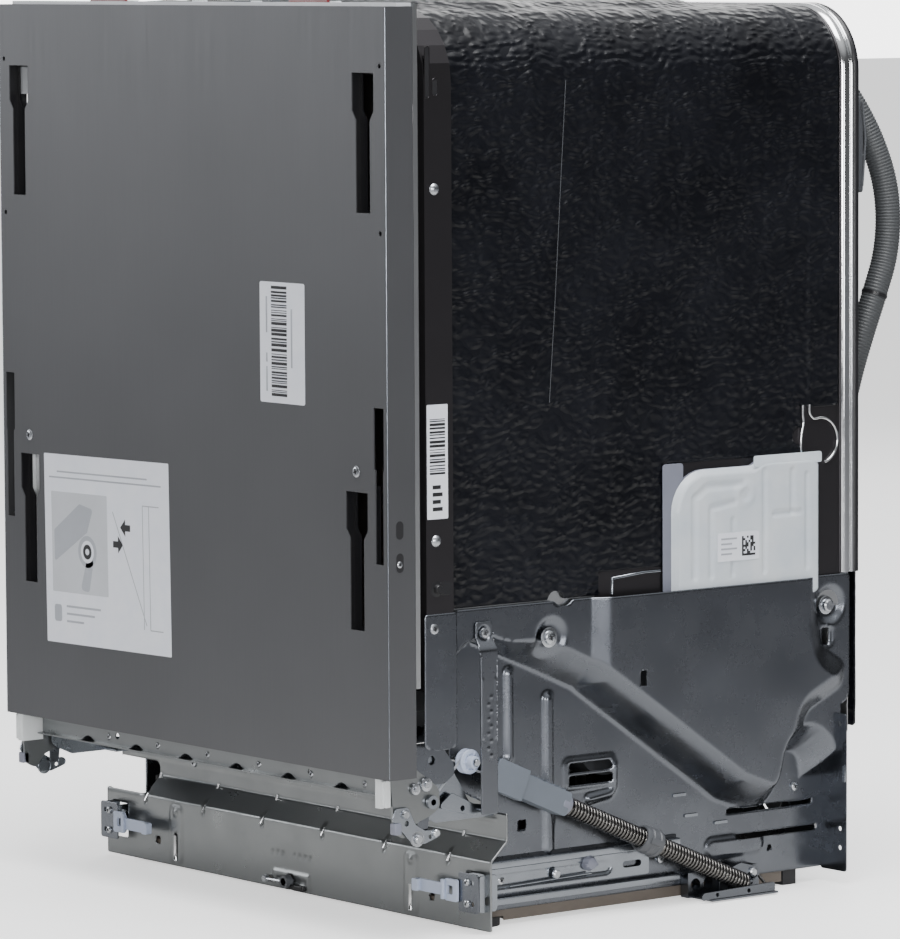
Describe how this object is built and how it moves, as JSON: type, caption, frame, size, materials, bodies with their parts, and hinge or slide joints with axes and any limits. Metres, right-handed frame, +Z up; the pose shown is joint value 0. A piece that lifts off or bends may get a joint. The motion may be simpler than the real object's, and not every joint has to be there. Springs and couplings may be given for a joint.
{
  "type": "built in dishwasher",
  "caption": "Built-in dishwasher without a furniture front: hinged spring-balanced door, matted stainless tub with sliding racks, pressed steel base, drain hose.",
  "frame": {"origin": "centre of the footprint on the floor, without the drain hose", "axes": "+Z up from the floor, +X to the viewer's right when facing the door, -Y out through the door"},
  "size_m": [0.596, 0.6321, 0.8246],
  "materials": {
    "door_paint": "satin dark grey sheet",
    "stainless": "bright stainless sheet",
    "frame_steel": "dark stainless strip",
    "galvanized": "zinc-coated sheet",
    "plinth_steel": "dull zinc-coated sheet",
    "mat_bitumen": "embossed sound-deadening mat",
    "seal_rubber": "dark rubber",
    "foot_rubber": "black rubber",
    "grey_plastic": "mid grey plastic",
    "light_plastic": "pale blue-white plastic",
    "white_plastic": "white plastic",
    "red_plastic": "dark red plastic",
    "tray_plastic": "brown-beige plastic",
    "water_box_plastic": "milky translucent plastic",
    "hose_plastic": "grey corrugated hose",
    "spring_wire": "oiled spring wire",
    "rack_coating": "nylon-coated wire",
    "felt": "sound-deadening sheet"
  },
  "bodies": {
    "cabinet": {"front_frame": "frame_steel", "tub_wrap": "stainless", "tub_floor": "stainless", "tub_back": "stainless", "rear_flange": "stainless", "door_seal": "seal_rubber", "sound_mat": "mat_bitumen", "rear_mat": "mat_bitumen", "base_panel_right": "galvanized", "base_panel_left": "galvanized", "plinth_panel": "plinth_steel", "base_tray": "tray_plastic", "base_back_panel": "galvanized", "hinge_bracket_right": "galvanized", "hinge_bracket_left": "galvanized", "guard_bracket_right": "galvanized", "guard_bracket_left": "galvanized", "spring_anchors": "galvanized", "door_springs": "spring_wire", "plinth_runners": "galvanized", "rear_skids": "foot_rubber", "rack_rails": "stainless", "sump_filter": "stainless", "wash_pump": "grey_plastic", "water_box": "water_box_plastic", "drain_hose": "hose_plastic", "hose_clips": "grey_plastic", "inlet_valve": "white_plastic", "chassis_screws": "galvanized"},
    "door": {"door_outer_panel": "door_paint", "door_inner_panel": "stainless", "door_console": "white_plastic", "console_tabs": "red_plastic", "door_bottom_rail": "galvanized", "hook_plates": "galvanized", "door_insulation": "felt", "door_screws": "galvanized", "hinge_arm_right": "galvanized", "hinge_arm_left": "galvanized", "hinge_covers": "white_plastic", "detergent_dispenser": "white_plastic"},
    "lid": {"dispenser_lid": "white_plastic"},
    "cap": {"rinse_aid_cap": "light_plastic"},
    "power_key": {"power_button": "grey_plastic"},
    "program_key": {"program_button": "grey_plastic"},
    "start_key": {"start_button": "grey_plastic"},
    "rollers": {"rope_rollers": "light_plastic"},
    "tensioners": {"spring_tensioners": "grey_plastic"},
    "couplers": {"spring_couplers": "grey_plastic"},
    "slide_right": {"plinth_slide_right": "light_plastic"},
    "slide_left": {"plinth_slide_left": "light_plastic"},
    "foot_right": {"foot_front_right": "foot_rubber"},
    "foot_left": {"foot_front_left": "foot_rubber"},
    "foot_back": {"foot_rear": "foot_rubber"},
    "adjuster": {"foot_adjuster": "grey_plastic"},
    "upper_basket": {"upper_rack": "rack_coating"},
    "lower_basket": {"lower_rack": "rack_coating", "cutlery_basket": "grey_plastic"},
    "lower_arm": {"lower_spray_arm": "grey_plastic"},
    "upper_arm": {"upper_spray_arm": "grey_plastic"}
  },
  "joints": [
    {"name": "door_hinge", "type": "hinge", "parent": "cabinet", "child": "door", "pos_m": [0, -0.2429, 0.124], "axis": [1, 0, 0], "range_deg": [0, 90], "stiffness_Nm_per_rad": 12},
    {"name": "lid_slide", "type": "slide", "parent": "door", "child": "lid", "axis": [-1, 0, 0], "range_m": [0, 0.05]},
    {"name": "cap_turn", "type": "hinge", "parent": "door", "child": "cap", "pos_m": [0.044, -0.2549, 0.546], "axis": [0, 1, 0], "range_deg": [0, 90]},
    {"name": "power_press", "type": "slide", "parent": "door", "child": "power_key", "axis": [0, 0, -1], "range_m": [0, 0.0012], "stiffness_N_per_m": 400, "springref_m": -0.0005},
    {"name": "program_press", "type": "slide", "parent": "door", "child": "program_key", "axis": [0, 0, -1], "range_m": [0, 0.0012], "stiffness_N_per_m": 400, "springref_m": -0.0005},
    {"name": "start_press", "type": "slide", "parent": "door", "child": "start_key", "axis": [0, 0, -1], "range_m": [0, 0.0012], "stiffness_N_per_m": 400, "springref_m": -0.0005},
    {"name": "roller_turn", "type": "hinge", "parent": "cabinet", "child": "rollers", "pos_m": [0.283, -0.1969, 0.155], "axis": [1, 0, 0], "range_deg": [0, 272]},
    {"name": "tensioner_slide", "type": "slide", "parent": "cabinet", "child": "tensioners", "axis": [0, -0.9211, 0.3893], "range_m": [0, 0.038], "deforming": ["door_springs"]},
    {"name": "coupler_slide", "type": "slide", "parent": "cabinet", "child": "couplers", "axis": [0, -0.9211, 0.3893], "range_m": [0, 0.019]},
    {"name": "upper_rack_slide", "type": "slide", "parent": "cabinet", "child": "upper_basket", "axis": [0, -1, 0], "range_m": [0, 0.38]},
    {"name": "lower_rack_slide", "type": "slide", "parent": "cabinet", "child": "lower_basket", "axis": [0, -1, 0], "range_m": [0, 0.236]},
    {"name": "lower_arm_spin", "type": "hinge", "parent": "cabinet", "child": "lower_arm", "pos_m": [0, 0.00642, 0.22], "axis": [0, 0, 1], "continuous": true},
    {"name": "upper_arm_spin", "type": "hinge", "parent": "upper_basket", "child": "upper_arm", "pos_m": [0, 0.00642, 0.485], "axis": [0, 0, 1], "continuous": true},
    {"name": "plinth_slide_right_run", "type": "slide", "parent": "cabinet", "child": "slide_right", "axis": [0, -1, 0], "range_m": [0, 0.1]},
    {"name": "plinth_slide_left_run", "type": "slide", "parent": "cabinet", "child": "slide_left", "axis": [0, -1, 0], "range_m": [0, 0.1]},
    {"name": "foot_right_screw", "type": "slide", "parent": "cabinet", "child": "foot_right", "axis": [0, 0, -1], "range_m": [0, 0.05]},
    {"name": "foot_left_screw", "type": "slide", "parent": "cabinet", "child": "foot_left", "axis": [0, 0, -1], "range_m": [0, 0.05]},
    {"name": "adjuster_turn", "type": "hinge", "parent": "cabinet", "child": "adjuster", "pos_m": [0, -0.1909, 0.011], "axis": [0, 1, 0], "range_deg": [0, 3600]},
    {"name": "foot_back_screw", "type": "slide", "parent": "cabinet", "child": "foot_back", "axis": [0, 0, -1], "range_m": [0, 0.0188]}
  ],
  "couplings": [
    {"joint": "tensioner_slide", "follows": "door_hinge", "m_per_rad": 0.024},
    {"joint": "coupler_slide", "follows": "door_hinge", "m_per_rad": 0.012},
    {"joint": "roller_turn", "follows": "door_hinge", "ratio": 3},
    {"joint": "upper_rack_slide", "follows": "door_hinge", "m_per_rad": 0.24},
    {"joint": "lower_rack_slide", "follows": "door_hinge", "m_per_rad": 0.15},
    {"joint": "adjuster_turn", "follows": "foot_back_screw", "rad_per_m": 3333}
  ]
}
